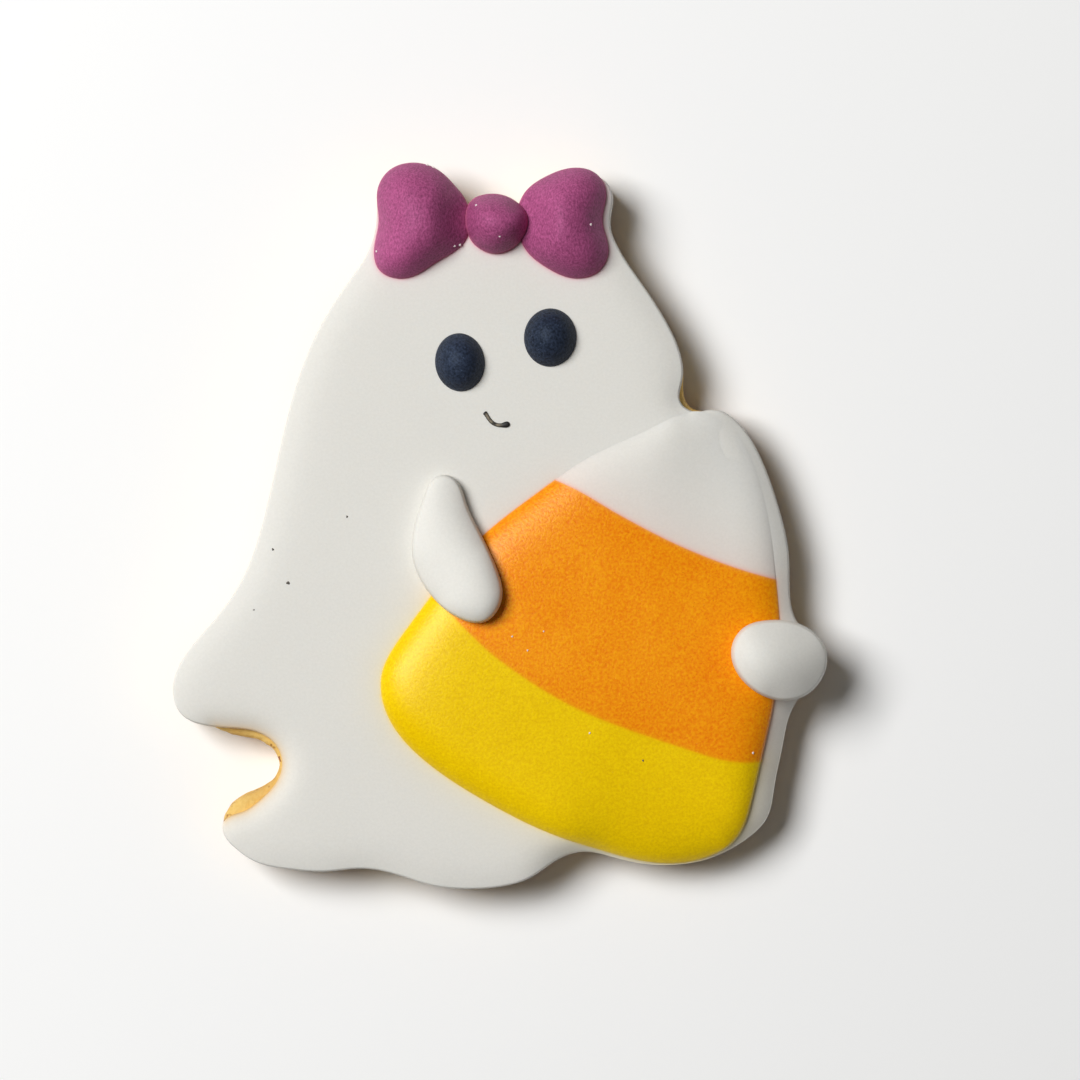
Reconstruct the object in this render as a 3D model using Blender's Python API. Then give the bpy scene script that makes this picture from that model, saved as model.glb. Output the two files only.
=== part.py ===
"""An iced sugar cookie: a little ghost with a bow, hugging a big three-coloured sweet.

A flat cut-out biscuit carries one white pool of icing. The sweet, the arms, the bow and the eyes are smaller
pools of icing that have set on top of it, and the smile is a fine piped line.

Metres, +Z up. The cookie lies on its back on z = 0, with the origin under the middle of its outline. +Y runs up
the ghost, from hem to bow, and +X to the side on which it holds the sweet.
"""

import math

import bmesh
import bpy
import numpy as np
from mathutils.geometry import delaunay_2d_cdt

MM = 0.001

# Driving dimensions, in millimetres.
BISCUIT_THICK = 6.5
BISCUIT_ROUND = 0.8  # radius on the biscuit's top and bottom edges
GAP = 0.3  # kept between touching pieces
RIM_WALL = 0.25  # the upright start of every pool's edge
UNDERCUT_STOP = 0.6  # share of the ghost's icing below which nothing follows its edge down
SMILE_THICK = 0.6
ON_EDGE = 0.001  # a point nearer to an edge than this counts as lying on it
CLIMB = 0.9  # how far outside the sweet's edge a piece that lies on it starts to climb
CUT_CLEARANCE = 0.9  # no lattice vertex of the sweet lies nearer than this to a line between its colours

# Each pool: how far it stands above what it lies on, how far in from its edge it levels out, and its colour.
GHOST_RISE, GHOST_SHOULDER = 2.2, 3.2
CORN_RISE, CORN_SHOULDER = 2.3, 3.6
BOW_RISE, BOW_SHOULDER = 6.0, 6.0
KNOT_RISE, KNOT_SHOULDER = 6.2, 5.0
ARM_RISE, ARM_SHOULDER = 3.0, 3.4
EYE_RISE, EYE_SHOULDER = 3.3, 3.0

# The ghost's edge, anticlockwise as seen from above, in millimetres. A third number says how far the white icing
# stops short of the biscuit's edge there; it is nothing where it is left out.
HEAD_LEFT = [(-17.6, 39.0), (-21.2, 33.1), (-25.7, 25.5), (-28.6, 17.4), (-30.6, 9.1), (-32.9, -0.5)]
ROBE_LEFT = [(-35.5, -7.4), (-39.3, -12.9), (-43.7, -18.4), (-45.0, -22.2), (-43.8, -26.0), (-40.4, -27.5)]
BAY = [
    (-36.3, -29.0, 1.1),
    (-32.6, -29.9, 1.0),
    (-30.8, -31.6, 0.65),
    (-30.6, -33.9, 0.45),
    (-32.3, -35.7, 1.0),
    (-34.9, -37.0, 1.8),
    (-37.4, -38.8, 1.4),
    (-38.2, -40.9, 0.1),
]
HEM_LEFT = [(-37.0, -43.8), (-33.5, -46.3), (-28.7, -47.3), (-23.9, -47.6), (-19.1, -47.2), (-13.6, -48.2)]
HEM_MIDDLE = [(-9.4, -49.5), (-4.8, -50.0), (0.1, -49.7), (4.4, -48.4), (8.0, -46.0), (11.4, -44.9)]
HEM_RIGHT = [(16.6, -45.9), (23.8, -46.7), (29.3, -45.7), (34.0, -43.2), (36.9, -40.2), (37.9, -36.0)]
HAND_BUMP = [(39.1, -30.0), (40.2, -25.6), (41.8, -23.2), (44.0, -20.6), (43.7, -16.3), (41.0, -13.1)]
CORN_SIDE = [(40.1, -9.8), (39.9, -3.9), (38.6, 2.3), (36.2, 9.1), (33.1, 14.1), (29.6, 16.1)]
NECK = [(27.2, 16.0, 0.2), (25.9, 17.1, 0.8), (25.4, 19.9, 0.2)]
HEAD_RIGHT = [(25.0, 23.6), (22.9, 28.4), (19.4, 33.8), (16.1, 39.0), (15.3, 41.9), (15.7, 44.9)]
BOW_TOP_RIGHT = [(14.7, 47.5), (12.5, 48.6), (10.0, 49.0), (7.2, 48.3), (4.4, 46.5), (2.7, 44.3)]
BOW_TOP_LEFT = [(0.7, 45.0), (-1.5, 45.3), (-3.9, 44.3), (-5.8, 46.0), (-8.5, 48.7), (-12.0, 49.6)]
BOW_SIDE_LEFT = [(-15.0, 48.8), (-16.6, 46.7), (-16.9, 43.5)]
GHOST_EDGE = (
    HEAD_LEFT + ROBE_LEFT + BAY + HEM_LEFT + HEM_MIDDLE + HEM_RIGHT + HAND_BUMP + CORN_SIDE + NECK
    + HEAD_RIGHT + BOW_TOP_RIGHT + BOW_TOP_LEFT + BOW_SIDE_LEFT
)

# The sweet's edge and the two lines between its colours, which run from its left side to its right.
CORN_EDGE = [
    (27.4, 15.8),
    (20.9, 13.5),
    (12.6, 9.6),
    (5.4, 4.7),
    (-3.2, -2.2),
    (-9.5, -9.8),
    (-13.5, -15.2),
    (-16.2, -20.6),
    (-15.2, -26.3),
    (-10.5, -32.0),
    (-2.4, -37.5),
    (6.0, -41.8),
    (14.5, -44.8),
    (22.5, -46.5),
    (28.3, -45.8),
    (32.5, -43.2),
    (34.8, -37.5),
    (36.3, -31.0),
    (37.8, -24.0),
    (38.6, -14.5),
    (38.1, -7.5),
    (37.2, 0.0),
    (35.2, 8.0),
    (31.8, 13.8),
]
CORN_UPPER_LINE = [(5.0, 7.6), (10.8, 5.0), (16.7, 1.5), (24.6, -2.6), (33.0, -5.9), (42.0, -8.4)]
CORN_LOWER_LINE = [(-13.0, -6.5), (-6.8, -12.1), (0.1, -18.5), (11.0, -25.2), (24.9, -30.3), (33.2, -32.4), (42.0, -31.4)]

ARM_LEFT_EDGE = [
    (-7.6, 7.05),
    (-8.9, 6.6),
    (-10.2, 4.4),
    (-11.6, 0.2),
    (-11.9, -4.2),
    (-9.5, -9.3),
    (-5.5, -12.6),
    (-1.9, -13.1),
    (0.4, -10.0),
    (-0.2, -6.1),
    (-2.6, -0.9),
    (-4.5, 3.2),
    (-6.2, 6.6),
]
HAND_RIGHT_EDGE = [
    (36.8, -12.9),
    (33.5, -13.9),
    (31.8, -16.7),
    (32.4, -19.8),
    (35.0, -22.6),
    (38.2, -23.9),
    (41.8, -23.4),
    (44.4, -20.8),
    (45.0, -17.5),
    (43.6, -14.9),
    (40.6, -13.2),
]
BOW_LEFT_EDGE = [
    (-16.6, 42.0),
    (-17.2, 38.2),
    (-16.5, 35.2),
    (-13.0, 34.0),
    (-8.5, 36.3),
    (-4.9, 38.8),
    (-3.9, 43.5),
    (-5.8, 46.5),
    (-8.4, 49.0),
    (-12.0, 50.0),
    (-15.3, 48.8),
    (-16.8, 46.0),
]
BOW_RIGHT_EDGE = [
    (2.5, 41.8),
    (3.6, 38.0),
    (6.5, 35.5),
    (10.5, 34.0),
    (13.7, 35.0),
    (15.0, 37.8),
    (14.2, 42.2),
    (14.7, 46.0),
    (13.3, 48.5),
    (10.3, 49.3),
    (6.6, 48.2),
    (3.3, 45.6),
]
KNOT_EDGE = [
    (-4.6, 41.8),
    (-3.7, 39.0),
    (-0.6, 37.4),
    (3.1, 39.4),
    (3.9, 42.4),
    (2.2, 44.7),
    (-1.2, 45.7),
    (-4.0, 44.6),
]

# The eyes are ovals: centre, half width, half height and the turn of the long axis.
EYE_LEFT = ((-5.4, 22.5), 3.4, 4.0, math.radians(6))
EYE_RIGHT = ((7.0, 25.9), 3.6, 4.0, math.radians(-3))
SMILE_LINE = [(-2.1, 15.8), (-1.35, 14.75), (-0.3, 13.95), (1.65, 14.1)]

MATERIALS = {
    "baked_biscuit": ((0.86, 0.66, 0.36), 0.85),
    "white_icing": ((0.88, 0.87, 0.84), 0.55),
    "orange_icing": ((0.94, 0.54, 0.03), 0.5),
    "yellow_icing": ((0.93, 0.76, 0.05), 0.5),
    "plum_icing": ((0.56, 0.27, 0.42), 0.5),
    "navy_icing": ((0.15, 0.18, 0.24), 0.5),
    "dark_line": ((0.12, 0.11, 0.10), 0.6),
}


def smooth_loop(points, spacing):
    """A closed curve through the points, as evenly spaced rows: a cubic spline with continuous curvature."""
    knots = np.array([(*p, 0.0)[:3] for p in points])
    count = len(knots)
    after = np.roll(np.arange(count), -1)
    before = np.roll(np.arange(count), 1)
    step = np.linalg.norm(knots[after, :2] - knots[:, :2], axis=1)
    # The bend at each knot solves the spline's cyclic three-term equations.
    system = np.zeros((count, count))
    row = np.arange(count)
    system[row, before] = step[before]
    system[row, row] = 2 * (step[before] + step)
    system[row, after] = step
    slope = (knots[after] - knots) / step[:, None]
    bend = np.linalg.solve(system, 6 * (slope - slope[before]))
    fine = 24  # samples of each span before they are spaced evenly
    t = (np.arange(fine) / fine)[None, :, None]
    h = step[:, None, None]
    a, b = knots[:, None], knots[after][:, None]
    bend_a, bend_b = bend[:, None], bend[after][:, None]
    s = 1 - t
    curve = s * a + t * b + h * h / 6 * ((s**3 - s) * bend_a + (t**3 - t) * bend_b)
    return spaced(np.vstack([curve.reshape(-1, 3), curve[:1, 0]]), spacing)[:-1]


def spaced(line, spacing):
    """The line's rows, set evenly at about the given spacing."""
    along = np.concatenate([[0], np.cumsum(np.linalg.norm(np.diff(line[:, :2], axis=0), axis=1))])
    at = np.linspace(0, along[-1], max(8, round(along[-1] / spacing)) + 1)
    return np.stack([np.interp(at, along, column) for column in line.T], axis=1)


def oval(eye, spacing):
    """An eye's edge: an ellipse turned about its centre."""
    centre, half_width, half_height, turn = eye
    count = max(12, round(math.pi * (half_width + half_height) / spacing))
    angle = np.linspace(0, 2 * math.pi, count, endpoint=False)
    x, y = half_width * np.cos(angle), half_height * np.sin(angle)
    return np.stack([x * math.cos(turn) - y * math.sin(turn), x * math.sin(turn) + y * math.cos(turn)], axis=1) + centre


def kept_off(loop, edge):
    """The loop, drawn back to GAP outside a roundish edge that it would otherwise run under."""
    centre = edge.mean(axis=0)
    spoke, own_spoke = edge - centre, loop - centre
    reach, own_reach = np.linalg.norm(spoke, axis=1), np.linalg.norm(own_spoke, axis=1)
    bearing, own_bearing = (np.arctan2(s[:, 1], s[:, 0]) for s in (spoke, own_spoke))
    least = GAP + np.interp(own_bearing, bearing, reach, period=2 * math.pi)
    return centre + own_spoke * (np.maximum(own_reach, least) / own_reach)[:, None]


def inward(loop):
    """The unit direction into the loop, at each of its points."""
    along = np.roll(loop[:, :2], -1, axis=0) - np.roll(loop[:, :2], 1, axis=0)
    along /= np.linalg.norm(along, axis=1)[:, None]
    return np.stack([-along[:, 1], along[:, 0]], axis=1)


def edge_pull(points, loop):
    """How strongly each edge of the loop pulls on each point: the integral of n.r / r^4 along that edge.

    Summed over the loop it is pi / (2 d^2) beside a straight edge at a distance d, and less than nothing outside.
    """
    start, end = loop[:, :2], np.roll(loop[:, :2], -1, axis=0)
    along = end - start
    along /= np.linalg.norm(along, axis=1)[:, None]
    to_start, to_end = start[None] - points[:, None, :2], end[None] - points[:, None, :2]
    off = to_start[..., 0] * along[:, 1] - to_start[..., 1] * along[:, 0]
    off = np.where(np.abs(off) < ON_EDGE, ON_EDGE, off)

    def reached(to):
        t = (to * along).sum(axis=2)
        return t / (2 * off * (off * off + t * t)) + np.arctan(t / off) / (2 * off * off)

    return reached(to_end) - reached(to_start)


class Pool:
    """Icing that has flowed to an edge and set: level in the middle, and round where it comes down to the edge."""

    def __init__(self, edge, rise, shoulder, bed):
        self.edge, self.rise, self.shoulder, self.bed = edge, rise, shoulder, bed
        self.edge_height = bed(edge)

    def depth(self, points):
        """A distance to the edge with no crease along the middle: negative outside."""
        pull = edge_pull(points, self.edge).sum(axis=1)
        return np.sign(pull) * np.sqrt(math.pi / 2 / np.maximum(np.abs(pull), 1e-9))

    def swell(self, points, grown=0.0):
        """The icing's own thickness: rise * sqrt(1 - exp(-2 depth / shoulder)), as if the edge lay further out."""
        depth = np.maximum(self.depth(points) + grown, 0)
        return self.rise * np.sqrt(1 - np.exp(-2 * depth / self.shoulder))

    def top(self, points):
        """The surface: the heights at which the edge rests, carried smoothly inwards, plus the thickness."""
        pull = edge_pull(points, self.edge)
        carried = pull @ self.edge_height / pull.sum(axis=1)
        return np.maximum(carried + self.swell(points), self.bed(points)) + RIM_WALL


def plan_points(pool, insets, grid):
    """Places for a pool's vertices: its edge, rows just inside it, then a lattice of triangles."""
    edge = pool.edge[:, :2]
    rows = [edge]
    for inset in insets:
        row = edge + inset * inward(edge)
        rows.append(row[pool.depth(row) > 0.75 * inset])
    low, high = edge.min(axis=0), edge.max(axis=0)
    x, y = np.meshgrid(np.arange(low[0], high[0], grid), np.arange(low[1], high[1], grid * math.sqrt(0.75)))
    x[1::2] += grid / 2
    lattice = np.stack([x.ravel(), y.ravel()], axis=1)
    rows.append(lattice[pool.depth(lattice) > insets[-1] + 0.45 * grid])
    return np.vstack(rows)


def triangulate(points, edge_count, lines=()):
    """Triangles between the points, inside the edge that the first of them form, with every line kept as edges."""
    count = len(points)
    edges = []
    for line in lines:
        edges += [(count + i, count + i + 1) for i in range(len(line) - 1)]
        count += len(line)
    everything = np.vstack([points, *lines]) if lines else points
    found = delaunay_2d_cdt(
        [tuple(p) for p in everything[:, :2].tolist()], edges, [list(range(edge_count))], 1, 1e-6
    )
    return np.array([v[:] for v in found[0]]), [list(f) for f in found[2]]


def solid(name, plan, faces, bottom, top, material):
    """A closed body over a flat plan: the plan is extruded, and each copy is set to its own height."""
    bm = bmesh.new()
    verts = [bm.verts.new((x * MM, y * MM, z * MM)) for (x, y), z in zip(plan, bottom)]
    for face in faces:
        bm.faces.new([verts[i] for i in face])
    made = bmesh.ops.extrude_face_region(bm, geom=bm.faces[:])["geom"]
    lifted = [v for v in made if isinstance(v, bmesh.types.BMVert)]
    height = {(v.co.x, v.co.y): z * MM for v, z in zip(verts, top)}
    for v in lifted:
        v.co.z = height[v.co.x, v.co.y]
    loose = [v for v in bm.verts if not v.link_faces]
    bmesh.ops.delete(bm, geom=loose, context="VERTS")
    bmesh.ops.recalc_face_normals(bm, faces=bm.faces[:])
    mesh = bpy.data.meshes.new(name)
    bm.to_mesh(mesh)
    bm.free()
    return placed(name, mesh, material)


def placed(name, data, material):
    """An object for the data, with its material, in the cookie's collection."""
    obj = bpy.data.objects.new(name, data)
    obj.data.materials.append(finish(material))
    bpy.data.collections["iced_cookie"].objects.link(obj)
    if obj.type == "MESH":
        obj.data.shade_smooth()
        obj.data.set_sharp_from_angle(angle=math.radians(50))
    return obj


def finish(name):
    """The named material, made once."""
    if name in bpy.data.materials:
        return bpy.data.materials[name]
    colour, roughness = MATERIALS[name]
    material = bpy.data.materials.new(name)
    material.use_nodes = True
    shader = material.node_tree.nodes["Principled BSDF"]
    shader.inputs["Base Color"].default_value = (*colour, 1)
    shader.inputs["Roughness"].default_value = roughness
    return material


def pool_piece(name, pool, material, insets, grid):
    """One pool of icing as a solid, GAP above what it lies on."""
    plan, faces = triangulate(plan_points(pool, insets, grid), len(pool.edge))
    solid(name, plan, faces, pool.bed(plan), pool.top(plan), material)


def biscuit(edge):
    """The baked base: the cutter's outline as a slab with rounded edges."""
    curve = bpy.data.curves.new("biscuit", "CURVE")
    curve.dimensions = "2D"
    curve.fill_mode = "BOTH"
    spline = curve.splines.new("POLY")
    spline.points.add(len(edge) - 1)
    for point, (x, y) in zip(spline.points, edge[:, :2]):
        point.co = (x * MM, y * MM, 0, 1)
    spline.use_cyclic_u = True
    curve.extrude = (BISCUIT_THICK / 2 - BISCUIT_ROUND) * MM
    curve.bevel_depth = BISCUIT_ROUND * MM
    curve.bevel_resolution = 1
    curve.offset = -BISCUIT_ROUND * MM
    slab = placed("biscuit", curve, "baked_biscuit")
    slab.location.z = BISCUIT_THICK / 2 * MM


def corn(pool):
    """The sweet: one pool in three colours, cut GAP wide along the two lines where they meet."""
    lines = [smooth_line(points) for points in (CORN_UPPER_LINE, CORN_LOWER_LINE)]
    banks = [line + side * GAP / 2 * normals(line) for line in lines for side in (1, -1)]
    points = plan_points(pool, insets=(0.5, 1.5), grid=2.9)
    clear = np.min([np.abs(height_over(points, line)) for line in lines], axis=0) > CUT_CLEARANCE
    clear[: len(pool.edge)] = True
    plan, faces = triangulate(points[clear], len(pool.edge), banks)
    middle = np.array([plan[f].mean(axis=0) for f in faces])
    over_upper, over_lower = (height_over(middle, line) for line in lines)
    bands = {
        "corn_tip": (over_upper > GAP / 2, "white_icing"),
        "corn_middle": ((over_upper < -GAP / 2) & (over_lower > GAP / 2), "orange_icing"),
        "corn_base": (over_lower < -GAP / 2, "yellow_icing"),
    }
    bottom, top = pool.bed(plan), pool.top(plan)
    for name, (within, material) in bands.items():
        solid(name, plan, [f for f, keep in zip(faces, within) if keep], bottom, top, material)


def smooth_line(points, spacing=2.0):
    """An open curve through the points: a Catmull-Rom spline, whose ends run on straight."""
    knots = np.array(points, float)
    knots = np.vstack([2 * knots[0] - knots[1], knots, 2 * knots[-1] - knots[-2]])
    t = np.linspace(0, 1, 12, endpoint=False)[:, None]
    spans = []
    for a, b, c, d in zip(knots, knots[1:], knots[2:], knots[3:]):
        spans.append(b + t / 2 * (c - a + t * (2 * a - 5 * b + 4 * c - d + t * (3 * (b - c) + d - a))))
    return spaced(np.vstack([*spans, knots[-2:-1]]), spacing)


def normals(line):
    """The unit direction to the left of the line's run, at each of its points."""
    along = np.gradient(line, axis=0)
    along /= np.linalg.norm(along, axis=1)[:, None]
    return np.stack([-along[:, 1], along[:, 0]], axis=1)


def height_over(points, line):
    """How far each point lies to the left of the line, measured from the nearest place on it."""
    start, along = line[:-1], np.diff(line, axis=0)
    rel = points[:, None] - start[None]
    share = np.clip((rel * along).sum(axis=2) / (along**2).sum(axis=1), 0, 1)
    off = rel - share[..., None] * along
    nearest = np.argmin((off**2).sum(axis=2), axis=1)
    row = np.arange(len(points))
    side = along[nearest, 0] * rel[row, nearest, 1] - along[nearest, 1] * rel[row, nearest, 0]
    return np.sign(side) * np.linalg.norm(off[row, nearest], axis=1)


def smile(ghost):
    """The mouth: a fine piped line that lies on the face."""
    line = smooth_line(SMILE_LINE, SMILE_THICK)
    curve = bpy.data.curves.new("smile", "CURVE")
    curve.dimensions = "3D"
    spline = curve.splines.new("POLY")
    spline.points.add(len(line) - 1)
    for point, (x, y), z in zip(spline.points, line, ghost.top(line) + GAP + SMILE_THICK / 2):
        point.co = (x * MM, y * MM, z * MM, 1)
    curve.bevel_depth = SMILE_THICK / 2 * MM
    curve.bevel_resolution = 2
    curve.use_fill_caps = True
    placed("smile", curve, "dark_line")


def main():
    for obj in list(bpy.data.objects):
        bpy.data.objects.remove(obj)
    bpy.context.scene.collection.children.link(bpy.data.collections.new("iced_cookie"))

    edge = smooth_loop(GHOST_EDGE, spacing=2.0)
    biscuit(edge)

    biscuit_top = BISCUIT_THICK + GAP
    icing_edge = edge.copy()
    icing_edge[:, :2] += edge[:, 2:] * inward(edge)
    ghost = Pool(icing_edge[:, :2], GHOST_RISE, GHOST_SHOULDER, lambda p: np.full(len(p), biscuit_top))
    pool_piece("ghost_icing", ghost, "white_icing", insets=(0.5, 1.6), grid=4.4)

    def on_ghost(points):
        """What lies on the ghost: its surface, but no lower down its edge than UNDERCUT_STOP."""
        surface = biscuit_top + np.maximum(ghost.swell(points), UNDERCUT_STOP * GHOST_RISE)
        return surface + RIM_WALL + GAP

    sweet = Pool(smooth_loop(CORN_EDGE, spacing=2.0)[:, :2], CORN_RISE, CORN_SHOULDER, on_ghost)
    corn(sweet)

    def on_corn(points):
        """What lies partly on the sweet: it climbs a little before it meets the sweet's edge."""
        climbed = sweet.swell(points, grown=CLIMB) + RIM_WALL + GAP
        return on_ghost(points) + climbed * (sweet.depth(points) > -CLIMB)

    for name, points in (("arm_left", ARM_LEFT_EDGE), ("hand_right", HAND_RIGHT_EDGE)):
        arm = Pool(smooth_loop(points, spacing=1.0)[:, :2], ARM_RISE, ARM_SHOULDER, on_corn)
        pool_piece(name, arm, "white_icing", insets=(0.5,), grid=1.2)

    knot = Pool(smooth_loop(KNOT_EDGE, spacing=1.2)[:, :2], KNOT_RISE, KNOT_SHOULDER, on_ghost)
    pool_piece("bow_knot", knot, "plum_icing", insets=(0.5, 1.3), grid=1.5)
    for name, points in (("bow_left", BOW_LEFT_EDGE), ("bow_right", BOW_RIGHT_EDGE)):
        loop = kept_off(smooth_loop(points, spacing=1.4)[:, :2], knot.edge)
        lobe = Pool(loop, BOW_RISE, BOW_SHOULDER, on_ghost)
        pool_piece(name, lobe, "plum_icing", insets=(0.5, 1.3), grid=1.7)

    for name, eye in (("eye_left", EYE_LEFT), ("eye_right", EYE_RIGHT)):
        dome = Pool(oval(eye, spacing=1.1), EYE_RISE, EYE_SHOULDER, on_ghost)
        pool_piece(name, dome, "navy_icing", insets=(0.5,), grid=1.3)
    smile(ghost)


main()
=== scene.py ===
"""The looks of an iced sugar cookie: a ghost with a bow that hugs a big three-coloured sweet.

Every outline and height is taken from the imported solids. Each pool of icing is worked out again as a fine
surface that meets what it lies on, and the biscuit as a baked slab with a rough crumb.
"""

import math

import bmesh
import bpy
import numpy as np
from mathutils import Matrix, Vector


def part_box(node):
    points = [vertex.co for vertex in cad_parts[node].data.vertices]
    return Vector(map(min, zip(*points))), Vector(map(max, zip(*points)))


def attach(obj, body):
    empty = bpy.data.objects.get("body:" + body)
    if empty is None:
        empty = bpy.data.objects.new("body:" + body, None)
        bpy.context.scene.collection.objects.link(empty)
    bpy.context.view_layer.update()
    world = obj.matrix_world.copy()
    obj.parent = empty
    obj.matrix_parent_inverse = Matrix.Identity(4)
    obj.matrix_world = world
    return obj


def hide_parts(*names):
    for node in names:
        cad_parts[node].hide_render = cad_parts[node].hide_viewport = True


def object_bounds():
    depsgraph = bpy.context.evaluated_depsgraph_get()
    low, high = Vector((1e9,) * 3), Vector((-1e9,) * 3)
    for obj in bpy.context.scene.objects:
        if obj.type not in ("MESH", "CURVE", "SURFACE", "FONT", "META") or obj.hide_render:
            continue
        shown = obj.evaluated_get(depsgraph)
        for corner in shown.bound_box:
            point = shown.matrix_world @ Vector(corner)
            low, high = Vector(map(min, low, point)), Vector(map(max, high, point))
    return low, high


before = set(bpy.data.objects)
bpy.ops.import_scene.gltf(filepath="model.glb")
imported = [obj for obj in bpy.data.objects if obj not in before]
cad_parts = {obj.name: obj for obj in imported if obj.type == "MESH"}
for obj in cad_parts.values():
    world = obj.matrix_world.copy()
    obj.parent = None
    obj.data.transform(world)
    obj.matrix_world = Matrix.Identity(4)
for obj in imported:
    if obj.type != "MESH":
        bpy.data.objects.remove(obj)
cad_low, cad_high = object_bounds()

# Shapes are worked out in millimetres and put into their meshes in metres.
MM = 0.001

SINK = 0.25  # how far a pool's underside is sunk into what it lies on
FOOT_INSETS = (0, 0.02, 0.05, 0.09, 0.14, 0.2, 0.28, 0.38, 0.5)  # the first rows in from a pool's edge
RIM_START = 0.12  # how far above its foot a pool's rim starts to turn over
HELD_LEVEL = 2.1  # how far above the biscuit the hand stays where it hangs over the edge
CAD_GAP = 0.3  # what the solids leave between touching pieces
AT_ONCE = 3000  # how many places are worked out in one go, which bounds the memory that takes

# How closely the points of an outline are spaced: round the cookie, round the sweet, round an arm or a part of the
# bow, round an eye, and where a distance to the outline is wanted.
COOKIE_STEP, SWEET_STEP, PIECE_STEP, EYE_STEP, DENSE_STEP = 0.45, 0.3, 0.2, 0.15, 0.1

# How many rows a pool's top has past FOOT_INSETS, and how many columns and rows each band of the sweet has.
COAT_ROWS, PIECE_ROWS, BAND_COLUMNS, BAND_ROWS = 64, 40, 260, 84


def fading(x):
    """A rise that is steepest at the edge and fades inwards: 1 - exp(-x)."""
    return 1 - np.exp(-x)


def steady(x):
    """A rise that goes on to the middle, as on a piped dome."""
    return x


# How each kind of icing has set. It turns over a rounded rim of that height and width, and rises from there to
# its top by a curve of depth / shoulder, with a share of the rise left for a crown over the whole width. Tuck is
# how far the foot draws in under the edge, and waves is how closely the rim follows the ups and downs of its bed.
FLOOD = dict(rim=1.8, rim_width=0.3, shoulder=3.0, curve=np.tanh, crown=0.0, tuck=0.4, waves=0)
SWEET = dict(rim=0.12, rim_width=0.3, shoulder=2.25, curve=fading, crown=0.15, tuck=0.0, waves=0)
LOBE = dict(rim=0.3, rim_width=0.3, shoulder=3.6, curve=fading, crown=0.0, tuck=0.2, waves=2)
KNOT = dict(rim=0.2, rim_width=0.25, shoulder=3.4, curve=fading, crown=0.0, tuck=0.1, waves=1)
ARM = dict(rim=1.8, rim_width=0.35, shoulder=1.7, curve=fading, crown=0.0, tuck=0.05, waves=2)
HAND = dict(rim=2.1, rim_width=0.45, shoulder=1.0, curve=steady, crown=0.0, tuck=0.1, waves=1)
EYE = dict(rim=0.2, rim_width=0.25, shoulder=3.2, curve=fading, crown=0.0, tuck=0.15, waves=1)

# The frame that the camera takes in, and where it stands over the cookie.
VIEW_WIDTH = 148.5
VIEW_CENTRE = (5.6, -1.9)
VIEW_HEIGHT = 600.0
VIEW_LEVEL = 8.5  # the height at which the frame is VIEW_WIDTH wide

# The ghost's outline is drawn in to this place, and by this power faster sideways than lengthwise.
GHOST_MIDDLE = np.array([0.0, -20.0])
UPRIGHT = 0.35


# ---------------------------------------------------------------- outlines


def node_mesh(node):
    """A solid's corners in millimetres and its triangles, with the loose corners that coincide made one."""
    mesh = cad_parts[node].data
    mesh.calc_loop_triangles()
    corners = np.empty(len(mesh.vertices) * 3)
    mesh.vertices.foreach_get("co", corners)
    triangles = np.empty(len(mesh.loop_triangles) * 3, np.int64)
    mesh.loop_triangles.foreach_get("vertices", triangles)
    corners = corners.reshape(-1, 3) / MM
    _, first, same = np.unique(np.round(corners, 3), axis=0, return_index=True, return_inverse=True)
    return corners[first], same.ravel()[triangles].reshape(-1, 3)


def foot_print(node):
    """The outline of a solid, anticlockwise from above: the border of all its triangles that face down."""
    corners, triangles = node_mesh(node)
    a, b, c = (corners[triangles[:, i]] for i in range(3))
    normal = np.cross(b - a, c - a)
    down = triangles[normal[:, 2] < -0.05 * np.linalg.norm(normal, axis=1)]
    start = down.ravel()
    end = np.roll(down, -1, axis=1).ravel()
    inner = set(zip(end.tolist(), start.tolist()))
    border = [(s, e) for s, e in zip(start.tolist(), end.tolist()) if (s, e) not in inner]
    # Seen from above, the triangles that face down run clockwise, so the border is followed backwards.
    before = {e: s for s, e in border}
    walk = [border[0][0]]
    while before[walk[-1]] != walk[0]:
        walk.append(before[walk[-1]])
    return corners[walk, :2]


def smooth_loop(knots, spacing):
    """A closed curve through the knots, as evenly spaced points: a cubic spline with continuous curvature."""
    count = len(knots)
    row = np.arange(count)
    after, before = np.roll(row, -1), np.roll(row, 1)
    step = np.linalg.norm(knots[after] - knots, axis=1)
    system = np.zeros((count, count))
    system[row, before] = step[before]
    system[row, row] = 2 * (step[before] + step)
    system[row, after] = step
    slope = (knots[after] - knots) / step[:, None]
    bend = np.linalg.solve(system, 6 * (slope - slope[before]))
    t = np.linspace(0, 1, 12, endpoint=False)[None, :, None]
    s, h = 1 - t, step[:, None, None]
    curve = s * knots[:, None] + t * knots[after][:, None]
    curve = curve + h * h / 6 * ((s**3 - s) * bend[:, None] + (t**3 - t) * bend[after][:, None])
    curve = curve.reshape(-1, 2)
    return spaced(np.vstack([curve, curve[:1]]), spacing)[:-1]


def spaced(line, spacing):
    """The line's points, set evenly at about the given spacing."""
    along = np.concatenate([[0], np.cumsum(np.linalg.norm(np.diff(line, axis=0), axis=1))])
    at = np.linspace(0, along[-1], max(4, round(along[-1] / spacing)) + 1)
    return np.stack([np.interp(at, along, column) for column in line.T], axis=1)


def inward(loop):
    """The unit direction into the loop, at each of its points."""
    along = np.roll(loop, -1, axis=0) - np.roll(loop, 1, axis=0)
    along /= np.linalg.norm(along, axis=1)[:, None]
    return np.stack([-along[:, 1], along[:, 0]], axis=1)


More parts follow.
